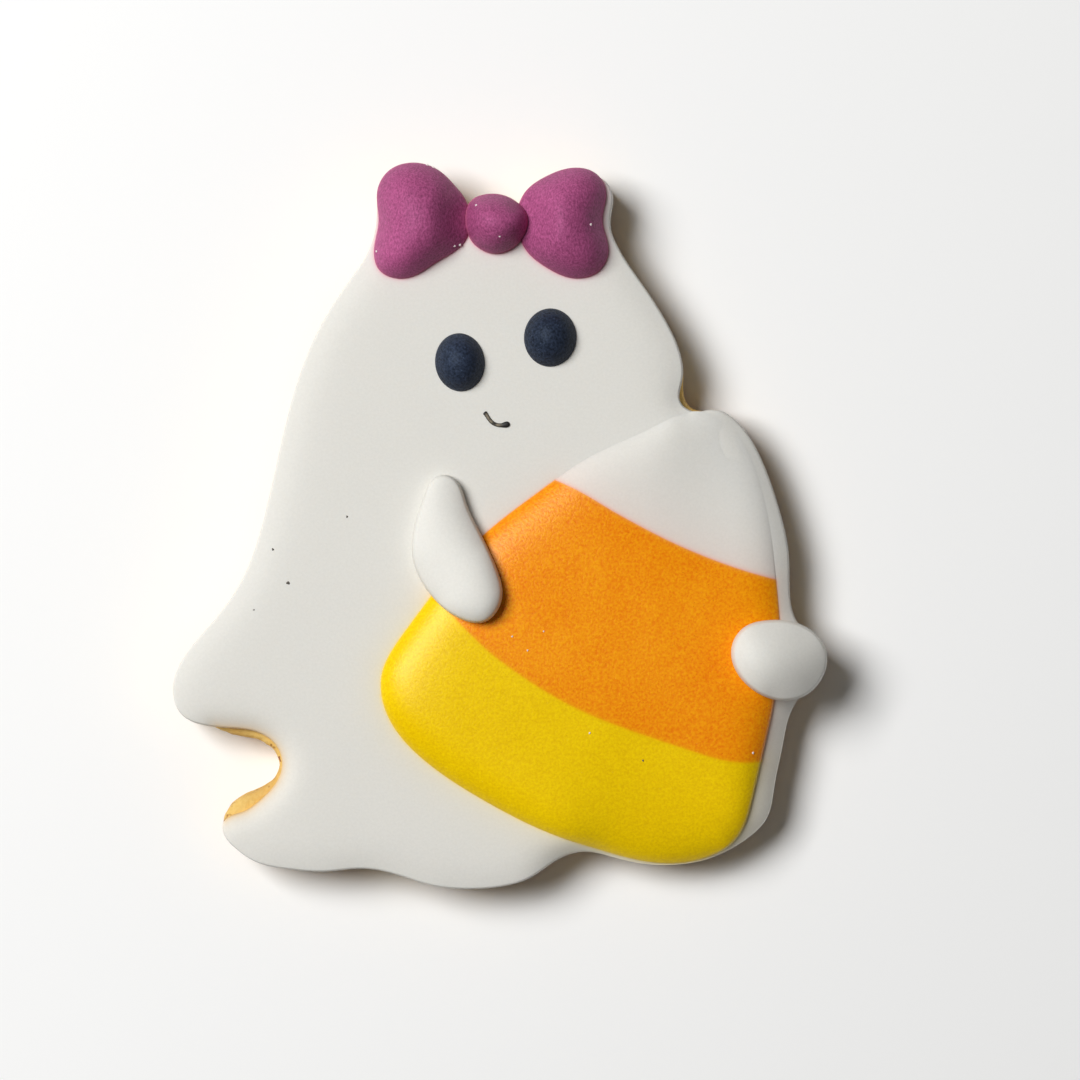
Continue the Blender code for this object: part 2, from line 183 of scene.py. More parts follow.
def gap_to(points, line):
    """Each point's distance to the nearest point of the line."""
    parts = np.array_split(points, max(1, len(points) // AT_ONCE))
    return np.concatenate([np.hypot(*(p[:, None] - line[None]).transpose(2, 0, 1)).min(axis=1) for p in parts])


def run_of(loop, kept):
    """The points of a loop that are kept, which follow each other, in order from the first to the last."""
    first = np.flatnonzero(kept & ~np.roll(kept, 1))[0]
    return np.roll(loop, -first, axis=0)[: kept.sum()]


# ---------------------------------------------------------------- pools of icing


class Pool:
    """Icing that has flowed to an edge and set, as one of the kinds above, up to its highest level.

    Share says, place by place, how much of its rise it has there. Slump says how much of its rim, in
    millimetres, has gone into the rise instead.
    """

    def __init__(self, edge, bed, kind, highest, share=None, slump=None):
        self.edge, self.kind = edge, kind
        self.share = share or (lambda points: 1.0)
        self.slump = slump or (lambda points: 0.0)
        self.bed_height = bed(edge)
        self.edge_height = settled(self.bed_height, kind["waves"])
        middle = edge.mean(axis=0)
        self.deepest = self.depth(middle[None])[0]
        shares = np.array([0, 0.15, 0.3, 0.45, 0.6])[:, None, None]
        inside = (middle + (edge - middle) * shares).reshape(-1, 2)
        inside = inside[self.depth(inside) > 0.5 * self.deepest]
        self.rise = 0.0
        flat = self.surface(inside)
        self.rise = 1.0
        per_rise = self.surface(inside) - flat
        self.rise = ((highest - flat) / per_rise).min()

    def pulls(self, points):
        """Two sums over the edge: of how strongly each part of it pulls, and of those pulls times its height.

        A part's pull is the integral along it of n.r / r^4. It has a closed form for a straight part, and it
        adds up to pi / (2 d^2) at a distance d from a long straight edge, so depth() is then exact.
        """
        start, end = self.edge, np.roll(self.edge, -1, axis=0)
        along = end - start
        along /= np.linalg.norm(along, axis=1)[:, None]
        total, raised = [], []
        for part in np.array_split(points, max(1, len(points) // AT_ONCE)):
            to_start, to_end = start - part[:, None], end - part[:, None]
            off = to_start[..., 0] * along[:, 1] - to_start[..., 1] * along[:, 0]
            off = np.where(np.abs(off) < 1e-3, 1e-3, off)
            pull = -self.reached(to_start, along, off) + self.reached(to_end, along, off)
            total.append(pull.sum(axis=1))
            raised.append(pull @ self.edge_height)
        return np.concatenate(total), np.concatenate(raised)

    @staticmethod
    def reached(to, along, off):
        t = to[..., 0] * along[:, 0] + to[..., 1] * along[:, 1]
        return t / (2 * off * (off * off + t * t)) + np.arctan(t / off) / (2 * off * off)

    def depth(self, points):
        """The smooth distance in from the edge, less than nothing outside it."""
        return signed_depth(self.pulls(points)[0])

    def surface(self, points, outside=None):
        """The height of the top: the edge's height carried inwards, the rim, the rise and the crown."""
        total, raised = self.pulls(points)
        depth = signed_depth(total)
        inside = np.maximum(depth, 0)
        kind, slump = self.kind, self.slump(points)
        curve, crown = kind["curve"], kind["crown"]
        rim = (kind["rim"] - slump) * np.sqrt(1 - (1 - np.minimum(inside / kind["rim_width"], 1)) ** 2)
        swell = curve(inside / kind["shoulder"]) / curve(self.deepest / kind["shoulder"])
        swell = (1 - crown) * swell + crown * inside / self.deepest
        height = raised / total + rim + (self.rise * self.share(points) + slump) * swell
        return height if outside is None else np.where(depth > 0, height, outside)


def signed_depth(total):
    """The depth that an edge's pulls add up to."""
    return np.sign(total) * np.sqrt(math.pi / 2 / np.maximum(np.abs(total), 1e-9))


def settled(heights, waves):
    """The rim's level round an edge: the bed's slow ups and downs, as its first few waves, above the bed."""
    if waves == 0:
        return heights
    shares = np.fft.rfft(heights)
    shares[waves + 1 :] = 0
    return np.maximum(np.fft.irfft(shares, len(heights)), heights)


def drawn_in(loop, centre, count, upright):
    """Rows from the loop in to its centre: first straight in from the edge, then all together to the centre.

    The later rows are the innermost of the first ones with x scaled by s and y by s ^ upright about the centre,
    where s is 1 - (i / count) ^ 2.2. A small upright draws the rows in sideways first, to a long spine.
    """
    straight = loop + np.array(FOOT_INSETS)[:, None, None] * inward(loop)
    s = 1 - (np.arange(1, count) / count) ** 2.2
    scale = np.stack([s, s**upright], axis=1)[:, None]
    return np.concatenate([straight, centre + (straight[-1] - centre) * scale])


def closed_rows(name, rows, low_pole, high_pole):
    """A closed mesh of loops stacked from a low pole to a high pole, each loop anticlockwise from above."""
    count, around = rows.shape[:2]
    corners = np.vstack([rows.reshape(-1, 3), [low_pole], [high_pole]])
    here = np.arange(around)
    there = np.roll(here, -1)
    step = around * np.arange(count - 1)[:, None]
    quads = np.stack([here + step, there + step, there + step + around, here + step + around], axis=-1)
    quads = quads.reshape(-1, 4)
    top = around * (count - 1)
    low = np.stack([there, here, np.full(around, count * around)], axis=1)
    high = np.stack([here + top, there + top, np.full(around, count * around + 1)], axis=1)
    mesh = bpy.data.meshes.new(name)
    mesh.vertices.add(len(corners))
    mesh.vertices.foreach_set("co", (corners * MM).ravel())
    loops = np.concatenate([quads.ravel(), low.ravel(), high.ravel()])
    sizes = np.concatenate([np.full(len(quads), 4), np.full(2 * around, 3)])
    mesh.loops.add(len(loops))
    mesh.loops.foreach_set("vertex_index", loops)
    mesh.polygons.add(len(sizes))
    mesh.polygons.foreach_set("loop_start", np.concatenate([[0], np.cumsum(sizes)[:-1]]))
    mesh.update(calc_edges=True)
    mesh.validate()
    mesh.shade_smooth()
    return mesh


def in_place(name, mesh, material, slot, *nodes):
    """An object for a finished mesh, which rides on the cookie and stands for the named solids."""
    piece = bpy.data.objects.new(name, mesh)
    bpy.context.scene.collection.objects.link(piece)
    mesh.materials.append(material)
    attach(piece, "root")
    if nodes:
        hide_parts(*nodes)
    return piece


def keep(mesh, name, values):
    """A value for each corner of a mesh, for its material to read."""
    mesh.attributes.new(name, "FLOAT", "POINT").data.foreach_set("value", values.astype(np.float32).ravel())


def icing(name, pool, centre, count, upright=1.0):
    """A closed piece of icing: the pool's dome, its foot below the edge, and an underside that is sunk.

    The foot goes down from the rim's start to the bed, and draws in by the tuck as a quarter of an ellipse.
    The depth attribute is 0 on the foot and the underside.
    """
    loop = pool.edge
    flat = drawn_in(loop, centre, count, upright)
    top = pool.surface(flat.reshape(-1, 2)).reshape(len(flat), -1)
    top[0] = pool.edge_height + RIM_START
    top = np.maximum(top, top[0].min())
    turn = np.radians([90, 60, 30])[:, None]
    foot_flat = loop + (pool.kind["tuck"] * (1 - np.cos(turn)))[..., None] * inward(loop)
    foot = np.dstack([foot_flat, top[0] + (pool.bed_height - top[0]) * np.sin(turn)])
    buried = np.dstack([foot_flat[:1], (pool.bed_height - SINK)[None]])
    rows = np.concatenate([buried, foot, np.dstack([flat, top])])
    low_pole = (*centre, pool.bed_height.min() - SINK)
    mesh = closed_rows(name, rows, low_pole, (*centre, pool.surface(centre[None])[0]))
    depth = pool.depth(flat.reshape(-1, 2)).reshape(len(flat), -1)
    depth[0] = 0
    below = np.zeros((len(buried) + len(foot)) * len(loop))
    keep(mesh, "depth", np.concatenate([below, depth.ravel(), [0, depth[-1].mean()]]))
    return mesh


def closed_slab(name, flat, top, low, values):
    """A closed mesh over a grid: a sheet at the top heights, one at the low heights, and a wall round.

    Values are kept for the material: each name has one number for each place.
    """
    rows, columns = flat.shape[:2]
    ids = np.arange(rows * columns).reshape(rows, columns)
    sheet = np.stack([ids[:-1, :-1], ids[1:, :-1], ids[1:, 1:], ids[:-1, 1:]], axis=-1).reshape(-1, 4)
    border = np.concatenate([ids[:-1, 0], ids[-1, :-1], ids[:0:-1, -1], ids[0, :0:-1]])
    following = np.roll(border, -1)
    wall = np.stack([border, border + ids.size, following + ids.size, following], axis=1)
    faces = np.concatenate([sheet, sheet[:, ::-1] + ids.size, wall])
    corners = np.concatenate([np.dstack([flat, top]), np.dstack([flat, low])]).reshape(-1, 3)
    mesh = bpy.data.meshes.new(name)
    mesh.from_pydata((corners * MM).tolist(), [], faces.tolist())
    for attribute, numbers in values.items():
        keep(mesh, attribute, np.concatenate([numbers, numbers]))
    whole = bmesh.new()
    whole.from_mesh(mesh)
    bmesh.ops.remove_doubles(whole, verts=whole.verts[:], dist=1e-7)
    bmesh.ops.recalc_face_normals(whole, faces=whole.faces[:])
    whole.to_mesh(mesh)
    whole.free()
    mesh.shade_smooth()
    mesh.set_sharp_from_angle(angle=math.radians(50))
    return mesh


# ---------------------------------------------------------------- the biscuit


def lumps(points, size, seed):
    """Smooth noise from -1 to 1: hashed values on a cubic lattice of that size, blended by a smooth step."""
    scaled = points / size
    cell = np.floor(scaled).astype(np.int64)
    t = scaled - cell
    t = t * t * (3 - 2 * t)
    total = np.zeros(points.shape[:-1])
    for corner in np.ndindex(2, 2, 2):
        k = cell + corner
        mixed = (k[..., 0] * 73856093) ^ (k[..., 1] * 19349663) ^ (k[..., 2] * 83492791) ^ (seed * 668265263)
        mixed = ((mixed ^ (mixed >> 13)) * 1274126177) & 0xFFFFFFFF
        mixed = (mixed ^ (mixed >> 16)) & 0xFFFFFFFF
        weight = np.prod(np.where(corner, t, 1 - t), axis=-1)
        total += weight * (mixed / 2**31 - 1)
    return total


def biscuit_rows(loop, centre, thick):
    """The slab as stacked loops: the underside outwards, the rounded side up, and the top inwards again.

    The side is a barrel: it bulges at mid height, and turns into top and bottom on quarter circles.
    """
    bottom_round, top_round, bulge = 0.5, 0.9, 0.25
    turn = np.radians(np.arange(0, 91, 15))
    side = np.linspace(0, 1, 14)[1:-1]
    inset = np.concatenate([
        bottom_round * (1 - np.sin(turn)),
        0 * side,
        top_round * (1 - np.cos(turn)),
    ])
    height = np.concatenate([
        bottom_round * (1 - np.cos(turn)),
        bottom_round + side * (thick - bottom_round - top_round),
        thick - top_round * (1 - np.sin(turn)),
    ])
    inset += bulge * (2 * height / thick - 1) ** 2
    rim = loop + inset[:, None, None] * inward(loop)
    wall = np.dstack([rim, np.broadcast_to(height[:, None], rim.shape[:2])])
    share = (1 - np.linspace(0, 1, 40) ** 1.5)[1:-1, None, None]
    scale = np.concatenate([share, share**UPRIGHT], axis=2)
    under = centre + (rim[0] - centre) * scale[::-1]
    over = centre + (rim[-1] - centre) * scale
    under = np.dstack([under, np.zeros(under.shape[:2])])
    over = np.dstack([over, np.full(over.shape[:2], thick)])
    return np.concatenate([under, wall, over])


# ---------------------------------------------------------------- materials


def to_linear(red, green, blue):
    """A colour as it looks on screen, 0 to 255, as the light it stands for."""
    level = np.array([red, green, blue]) / 255
    return tuple(np.where(level < 0.04045, level / 12.92, ((level + 0.055) / 1.055) ** 2.4)) + (1.0,)


def add(tree, kind, inputs=(), **settings):
    """A node with its settings, and with each named or numbered input set to a value or linked to an output."""
    made = tree.nodes.new(kind)
    for name, value in settings.items():
        setattr(made, name, value)
    for key, value in dict(inputs).items():
        if isinstance(value, bpy.types.NodeSocket):
            tree.links.new(value, made.inputs[key])
        else:
            made.inputs[key].default_value = value
    return made


def group(name, inputs, outputs):
    """An empty shader node group with named float inputs and outputs, and its input and output nodes."""
    tree = bpy.data.node_groups.new(name, "ShaderNodeTree")
    for label, default in inputs.items():
        tree.interface.new_socket(label, in_out="INPUT", socket_type="NodeSocketFloat").default_value = default
    for label in outputs:
        tree.interface.new_socket(label, in_out="OUTPUT", socket_type="NodeSocketFloat")
    return tree, tree.nodes.new("NodeGroupInput"), tree.nodes.new("NodeGroupOutput")


def sugar_grain():
    """Dried icing's skin: sugar grains as a height and a speckle, with sparse dark pits and painted glints:
    bright dots that stand for sugar crystals sparkling.

    Along stretches the grains lengthwise, where a dome was brushed or piped that way.
    """
    given = {"Grains per metre": 2600.0, "Unevenness": 0.5, "Along": 1.0, "Dots per metre": 700.0}
    tree, given, result = group("sugar_grain", given, ["Height", "Speckle", "Pits", "Painted glints"])
    across = add(tree, "ShaderNodeCombineXYZ", {"X": 1.0, "Y": given.outputs["Along"], "Z": 1.0}).outputs[0]
    object_place = add(tree, "ShaderNodeTexCoord").outputs["Object"]
    place = add(tree, "ShaderNodeVectorMath", {0: object_place, 1: across}, operation="MULTIPLY").outputs[0]
    scale = given.outputs["Grains per metre"]
    fine = add(tree, "ShaderNodeTexNoise", {"Vector": place, "Scale": scale, "Detail": 2.5, "Roughness": 0.65})
    wide_scale = add(tree, "ShaderNodeMath", {0: scale, 1: 0.12}, operation="MULTIPLY").outputs[0]
    wide = add(tree, "ShaderNodeTexNoise", {"Vector": place, "Scale": wide_scale, "Detail": 2.0})
    uneven = {0: wide.outputs["Fac"], 1: given.outputs["Unevenness"], 2: fine.outputs["Fac"]}
    height = add(tree, "ShaderNodeMath", uneven, operation="MULTIPLY_ADD")
    tree.links.new(height.outputs[0], result.inputs["Height"])
    spread = {"Value": fine.outputs["Fac"], "From Min": 0.33, "From Max": 0.67}
    speckle = add(tree, "ShaderNodeMapRange", spread)
    tree.links.new(speckle.outputs[0], result.inputs["Speckle"])
    # Of the two sets of dots, the second is painted glints, for the sparkle of sugar crystals.
    for output, share, stretch in (("Pits", 0.45, 1.0), ("Painted glints", 0.75, 1.37)):
        closeness = {0: given.outputs["Dots per metre"], 1: stretch}
        dots = add(tree, "ShaderNodeMath", closeness, operation="MULTIPLY").outputs[0]
        cells = add(tree, "ShaderNodeTexVoronoi", {"Vector": object_place, "Scale": dots})
        near = {"Value": cells.outputs["Distance"], "From Min": 0.13, "From Max": 0.05}
        few = {0: cells.outputs["Color"], 1: share}
        shown = add(tree, "ShaderNodeMath", few, operation="GREATER_THAN").outputs[0]
        solid = add(tree, "ShaderNodeMapRange", near).outputs[0]
        dot = add(tree, "ShaderNodeMath", {0: solid, 1: shown}, operation="MULTIPLY")
        tree.links.new(dot.outputs[0], result.inputs[output])
    return tree


def slow_drift():
    """The slow change across a surface: a soft mask with patches of the given size."""
    tree, given, result = group("slow_drift", {"Patches per metre": 70.0}, ["Mask"])
    place = add(tree, "ShaderNodeTexCoord").outputs["Object"]
    noise = add(tree, "ShaderNodeTexNoise", {"Vector": place, "Scale": given.outputs[0], "Detail": 3.0})
    mask = add(tree, "ShaderNodeMapRange", {"Value": noise.outputs["Fac"], "From Min": 0.3, "From Max": 0.7})
    tree.links.new(mask.outputs[0], result.inputs["Mask"])
    return tree


def bleed_and_bounce_reach():
    """How far a tint reaches in from an edge: much of it close by, and a trace of it further off. Some tints
    are colour that has run into a neighbour, and some are painted bounce light.

    The distance is in millimetres. Near and Far are the two shares, Reach is where the near share has faded to
    a third, and Haze is the same for the far one.
    """
    given = {"Distance": 0.0, "Near": 0.5, "Reach": 0.25, "Far": 0.1, "Haze": 2.0}
    tree, given, result = group("bleed_and_bounce_reach", given, ["Share"])
    parts = []
    for share, reach in (("Near", "Reach"), ("Far", "Haze")):
        floored = {0: given.outputs["Distance"], 1: 0.0}
        inside = add(tree, "ShaderNodeMath", floored, operation="MAXIMUM").outputs[0]
        ratio = add(tree, "ShaderNodeMath", {0: inside, 1: given.outputs[reach]}, operation="DIVIDE").outputs[0]
        faded = add(tree, "ShaderNodeMath", {0: ratio, 1: -1.1}, operation="MULTIPLY").outputs[0]
        faded = add(tree, "ShaderNodeMath", {0: faded}, operation="EXPONENT").outputs[0]
        part = add(tree, "ShaderNodeMath", {0: faded, 1: given.outputs[share]}, operation="MULTIPLY")
        parts.append(part.outputs[0])
    total = add(tree, "ShaderNodeMath", {0: parts[0], 1: parts[1]}, operation="ADD", use_clamp=True)
    tree.links.new(total.outputs[0], result.inputs["Share"])
    return tree


GRAIN = sugar_grain()
DRIFT = slow_drift()
BLEED_AND_BOUNCE_REACH = bleed_and_bounce_reach()


def new_material(name):
    """A material with its Principled shader, and its node tree."""
    material = bpy.data.materials.new(name)
    material.use_nodes = True
    return material, material.node_tree, material.node_tree.nodes["Principled BSDF"]


def placed_group(tree, made, **inputs):
    """A node group placed in a material, with its own values and links."""
    holder = tree.nodes.new("ShaderNodeGroup")
    holder.node_tree = made
    for label, value in inputs.items():
        socket = holder.inputs[label.replace("_", " ")]
        if isinstance(value, bpy.types.NodeSocket):
            tree.links.new(value, socket)
        else:
            socket.default_value = value
    return holder


def mixed(tree, share, first, second, blend="MIX"):
    """Two colours mixed by a share."""
    mix = add(tree, "ShaderNodeMix", {0: share, 6: first, 7: second}, data_type="RGBA", blend_type=blend)
    return mix.outputs[2]


def scaled(tree, value, factor):
    """A value times a number."""
    return add(tree, "ShaderNodeMath", {0: value, 1: factor}, operation="MULTIPLY").outputs[0]


# How an icing looks where nothing else is said: how its surface takes the light, and its grains, pits and
# painted glints.
PLAIN = dict(roughness=0.6, gloss=0.2, tint=(1, 1, 1, 1), grains=2600.0, along=1.0, bump=0.05, scatter=0.15)
PLAIN |= dict(pits=0.0, crystals=0.0, pit_tone=(0, 0, 0, 1), crystal_tone=(1, 1, 1, 1), dots=700.0)


def icing_material(name, light, deep, edge_tints=(), **look):
    """Dried royal icing: grains of a light and a deep tone, pits, painted glints, and tints near its edges.

    Some tints are colours that have run into it, and some are painted bounce light. Each tint is an
    attribute that holds the distance to the other colour, that colour, and the values of its reach.
    """
    look = PLAIN | look
    material, tree, shader = new_material(name)
    grain = placed_group(
        tree, GRAIN, Grains_per_metre=look["grains"], Along=look["along"], Dots_per_metre=look["dots"]
    )
    drift = placed_group(tree, DRIFT).outputs["Mask"]
    patchy = {0: drift, 1: 0.3, 2: scaled(tree, grain.outputs["Speckle"], 0.7)}
    share = add(tree, "ShaderNodeMath", patchy, operation="MULTIPLY_ADD").outputs[0]
    colour = mixed(tree, share, deep, light)
    if look["pits"]:
        pits = scaled(tree, grain.outputs["Pits"], look["pits"])
        colour = mixed(tree, pits, colour, look["pit_tone"])
    # Painted glints: bright dots that stand for sugar crystals catching the light.
    if look["crystals"]:
        crystals = scaled(tree, grain.outputs["Painted glints"], look["crystals"])
        colour = mixed(tree, crystals, colour, look["crystal_tone"])
    # Tints near the edges: colour that has run in, and on some pieces painted bounce light.
    for attribute, other, near, reach, far, haze in edge_tints:
        distance = add(tree, "ShaderNodeAttribute", attribute_name=attribute).outputs["Fac"]
        run = placed_group(tree, BLEED_AND_BOUNCE_REACH, Distance=distance, Near=near, Reach=reach, Far=far, Haze=haze)
        colour = mixed(tree, run.outputs["Share"], colour, other)
    tree.links.new(colour, shader.inputs["Base Color"])
    spread = {"Value": drift, "To Min": look["roughness"] - 0.04, "To Max": look["roughness"] + 0.04}
    tree.links.new(add(tree, "ShaderNodeMapRange", spread).outputs[0], shader.inputs["Roughness"])
    relief = {"Strength": look["bump"], "Distance": 0.0001, "Height": grain.outputs["Height"]}
    tree.links.new(add(tree, "ShaderNodeBump", relief).outputs["Normal"], shader.inputs["Normal"])
    shader.inputs["Specular IOR Level"].default_value = look["gloss"]
    shader.inputs["Specular Tint"].default_value = look["tint"]
    shader.inputs["Subsurface Weight"].default_value = look["scatter"]
    shader.inputs["Subsurface Radius"].default_value = (1.0, 0.85, 0.7)
    shader.inputs["Subsurface Scale"].default_value = 0.0015
    return material


def biscuit_material():
    """Baked dough: golden, browner where the bake attribute is high, with a sandy crumb and dark flecks."""
    material, tree, shader = new_material("baked_biscuit")
    place = add(tree, "ShaderNodeTexCoord").outputs["Object"]
    bake = add(tree, "ShaderNodeAttribute", attribute_name="bake")
    drift = placed_group(tree, DRIFT, Patches_per_metre=260.0)
    crumb = placed_group(tree, GRAIN, Grains_per_metre=1900.0, Unevenness=1.5, Dots_per_metre=620.0)
    gold = mixed(tree, drift.outputs["Mask"], to_linear(238, 201, 112), to_linear(222, 178, 88))
    gold = mixed(tree, scaled(tree, crumb.outputs["Speckle"], 0.35), gold, to_linear(246, 218, 140))
    brown = mixed(tree, bake.outputs["Fac"], gold, to_linear(176, 116, 50))
    brown = mixed(tree, scaled(tree, crumb.outputs["Pits"], 0.3), brown, to_linear(150, 96, 42))
    fleck = add(tree, "ShaderNodeTexNoise", {"Vector": place, "Scale": 900.0, "Detail": 1.0})
    few = {"Value": fleck.outputs["Fac"], "From Min": 0.66, "From Max": 0.72}
    flecks = add(tree, "ShaderNodeMapRange", few).outputs[0]
    colour = mixed(tree, flecks, brown, to_linear(150, 92, 40))
    tree.links.new(colour, shader.inputs["Base Color"])
    shader.inputs["Roughness"].default_value = 0.8
    relief = {"Strength": 0.6, "Distance": 0.0003, "Height": crumb.outputs["Height"]}
    tree.links.new(add(tree, "ShaderNodeBump", relief).outputs["Normal"], shader.inputs["Normal"])
    return material


def line_material():
    """The mouth's line: nearly black, with a painted grey-brown sheen in patches along its top, where its
    attribute is high.
    """
    material, tree, shader = new_material("dark_line")
    # The grey-brown is a painted sheen on the top of the line, broken into patches.
    painted_sheen = add(tree, "ShaderNodeAttribute", attribute_name="painted_sheen").outputs["Fac"]
    sheen_patches = placed_group(tree, DRIFT, Patches_per_metre=1600.0).outputs["Mask"]
    share = add(tree, "ShaderNodeMath", {0: painted_sheen, 1: sheen_patches}, operation="MULTIPLY").outputs[0]
    colour = mixed(tree, share, to_linear(22, 20, 17), to_linear(142, 130, 110))
    tree.links.new(colour, shader.inputs["Base Color"])
    shader.inputs["Roughness"].default_value = 0.6
    return material


WHITE_TONES = to_linear(227, 225, 218), to_linear(221, 219, 212)
ORANGE_TONE, YELLOW_TONE = to_linear(255, 152, 0), to_linear(244, 203, 0)

# What has run into the white coat from the pieces beside it and the biscuit. Near the orange, yellow and plum
# pieces that tint is partly their colour run in and partly painted bounce light from them.
BLEED_AND_BOUNCE_TINTS = (
    ("from_orange", to_linear(255, 150, 60), 0.45, 0.2, 0.10, 1.9),
    ("from_yellow", to_linear(250, 215, 60), 0.45, 0.2, 0.20, 2.0),
    ("from_plum", to_linear(222, 132, 160), 0.6, 0.25, 0.05, 1.4),
    ("from_biscuit", to_linear(226, 184, 112), 0.75, 0.5, 0.10, 1.6),
)
WHITE = icing_material("white_icing", *WHITE_TONES)
WHITE_COAT = icing_material("white_flood_icing", *WHITE_TONES, edge_tints=BLEED_AND_BOUNCE_TINTS)
# The tip's orange tint is partly colour that has run in and partly painted bounce light from the orange band.
WHITE_TIP = icing_material(
    "white_tip_icing", *WHITE_TONES, edge_tints=[("from_orange", to_linear(255, 140, 90), 0.6, 0.25, 0.13, 3.6)]
)
# In the icings below, the bright crystal dots and their tones are painted glints.
ORANGE = icing_material(
    "orange_icing",
    to_linear(255, 170, 8),
    to_linear(234, 114, 0),
    edge_tints=[
        ("from_white", to_linear(250, 190, 120), 0.45, 0.16, 0.0, 1.0),
        ("from_yellow", YELLOW_TONE, 0.5, 0.16, 0.0, 1.0),
        ("depth", to_linear(255, 190, 120), 0.3, 0.12, 0.0, 1.0),
    ],
    roughness=0.33, gloss=0.4, tint=(1.0, 0.8, 0.5, 1), grains=2800.0, bump=0.45, pits=0.45,
    pit_tone=to_linear(180, 84, 0), crystals=0.35, crystal_tone=to_linear(255, 200, 100), dots=1300.0,
    scatter=0.08,
)
YELLOW = icing_material(
    "yellow_icing",
    to_linear(252, 214, 0),
    to_linear(228, 184, 0),
    edge_tints=[
        ("from_orange", ORANGE_TONE, 0.5, 0.16, 0.0, 1.0),
        ("depth", to_linear(250, 225, 120), 0.3, 0.1, 0.0, 1.0),
    ],
    roughness=0.33, gloss=0.36, tint=(1.0, 0.88, 0.5, 1), grains=2800.0, bump=0.35, pits=0.25,
    pit_tone=to_linear(190, 144, 0), crystals=0.2, crystal_tone=to_linear(255, 232, 120), dots=1300.0,
    scatter=0.08,
)
PLUM = icing_material(
    "plum_icing",
    to_linear(190, 94, 145),
    to_linear(120, 52, 88),
    # This depth tint is painted bounce light from the white coat: a lighter pink rim round each plum piece.
    edge_tints=[("depth", to_linear(214, 110, 140), 0.5, 0.12, 0.0, 1.0)],
    roughness=0.55, gloss=0.3, tint=(1.0, 0.5, 0.8, 1), grains=4200.0, bump=0.75, along=0.6, crystals=0.5,
    crystal_tone=to_linear(228, 150, 200), dots=2400.0, scatter=0.04,
)
NAVY = icing_material(
    "navy_icing",
    to_linear(54, 64, 84),
    to_linear(1, 2, 3),
    roughness=0.45, gloss=0.15, tint=(0.65, 0.8, 1.0, 1), grains=3000.0, bump=1.0, crystals=0.9, dots=2600.0,
    crystal_tone=to_linear(150, 172, 212), scatter=0.0,
)
LINE = line_material()
PALE_SPECK = icing_material("pale_sugar_speck", to_linear(240, 228, 226), to_linear(230, 215, 214))
DARK_SPECK = icing_material("dark_speck", to_linear(110, 104, 98), to_linear(80, 75, 70))


# ---------------------------------------------------------------- building the cookie


def top_of(node):
    """The height of a solid's highest point, in millimetres."""
    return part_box(node)[1].z / MM


def edge_of(node, spacing):
    """A solid's outline as a smooth curve."""
    return smooth_loop(foot_print(node), spacing)


def build_biscuit():
    """The baked slab, rough all over but for the underside, and browner at the bottom."""
    loop, thick = edge_of("biscuit", COOKIE_STEP), top_of("biscuit")
    rows = biscuit_rows(loop, GHOST_MIDDLE, thick)
    mesh = closed_rows("baked_slab", rows, (*GHOST_MIDDLE, 0.0), (*GHOST_MIDDLE, thick))
    corners, normals = (np.empty(len(mesh.vertices) * 3) for _ in range(2))
    mesh.vertices.foreach_get("co", corners)
    mesh.vertices.foreach_get("normal", normals)
    corners = corners.reshape(-1, 3) / MM
    # Lumps of three sizes, each with its height before it.
    rough = 0.10 * lumps(corners, 1.6, 1) + 0.07 * lumps(corners, 0.7, 2) + 0.05 * lumps(corners, 5.0, 3)
    stands = np.clip(corners[:, 2] / 0.5, 0, 1)  # the underside stays flat, as it baked on its tray
    corners += (rough * stands)[:, None] * normals.reshape(-1, 3)
    mesh.vertices.foreach_set("co", (corners * MM).ravel())
    bake = np.clip(0.75 * np.exp(-corners[:, 2] / 1.2) + 0.15 + 0.25 * lumps(corners, 4.0, 4), 0, 1)
    keep(mesh, "bake", bake)
    mesh.update()
    in_place("baked_slab", mesh, biscuit_material(), "biscuit", "biscuit")


def along(line, shares):
    """The places at those shares of a line's length."""
    reach = np.concatenate([[0], np.cumsum(np.linalg.norm(np.diff(line, axis=0), axis=1))])
    return np.stack([np.interp(shares * reach[-1], reach, column) for column in line.T], axis=1)


def corn_lines():
    """The sweet's outline, anticlockwise, and the two lines between its colours, each from left to right.

    The solids leave a gap along each line, so a line is the mean of the two edges that face each other there.
    """
    tip, middle, base = (foot_print(node) for node in ("corn_tip", "corn_middle", "corn_base"))

    def facing(loop, other):
        return gap_to(loop, spaced(np.vstack([other, other[:1]]), DENSE_STEP)) < 1.4 * CAD_GAP

    tip_cut, base_cut = facing(tip, middle), facing(base, middle)
    upper_cut, lower_cut = facing(middle, tip), facing(middle, base)
    shares = np.linspace(0, 1, 80)
    lines = []
    for facing_runs in (
        (run_of(tip, tip_cut), run_of(middle, upper_cut)),
        (run_of(base, base_cut), run_of(middle, lower_cut)),
    ):
        left_to_right = [run if run[0, 0] < run[-1, 0] else run[::-1] for run in facing_runs]
        lines.append(sum(along(run, shares) for run in left_to_right) / 2)
    start = np.flatnonzero(upper_cut & ~np.roll(upper_cut, -1))[0] + 1
    turned, cut = np.roll(middle, -start, axis=0), np.roll(upper_cut | lower_cut, -start)
    left = turned[: np.flatnonzero(cut)[0]]
    right = turned[len(left) :][~cut[len(left) :]]
    knots = np.vstack([left, run_of(base, ~base_cut), right, run_of(tip, ~tip_cut)])
    return smooth_loop(knots, SWEET_STEP), *lines


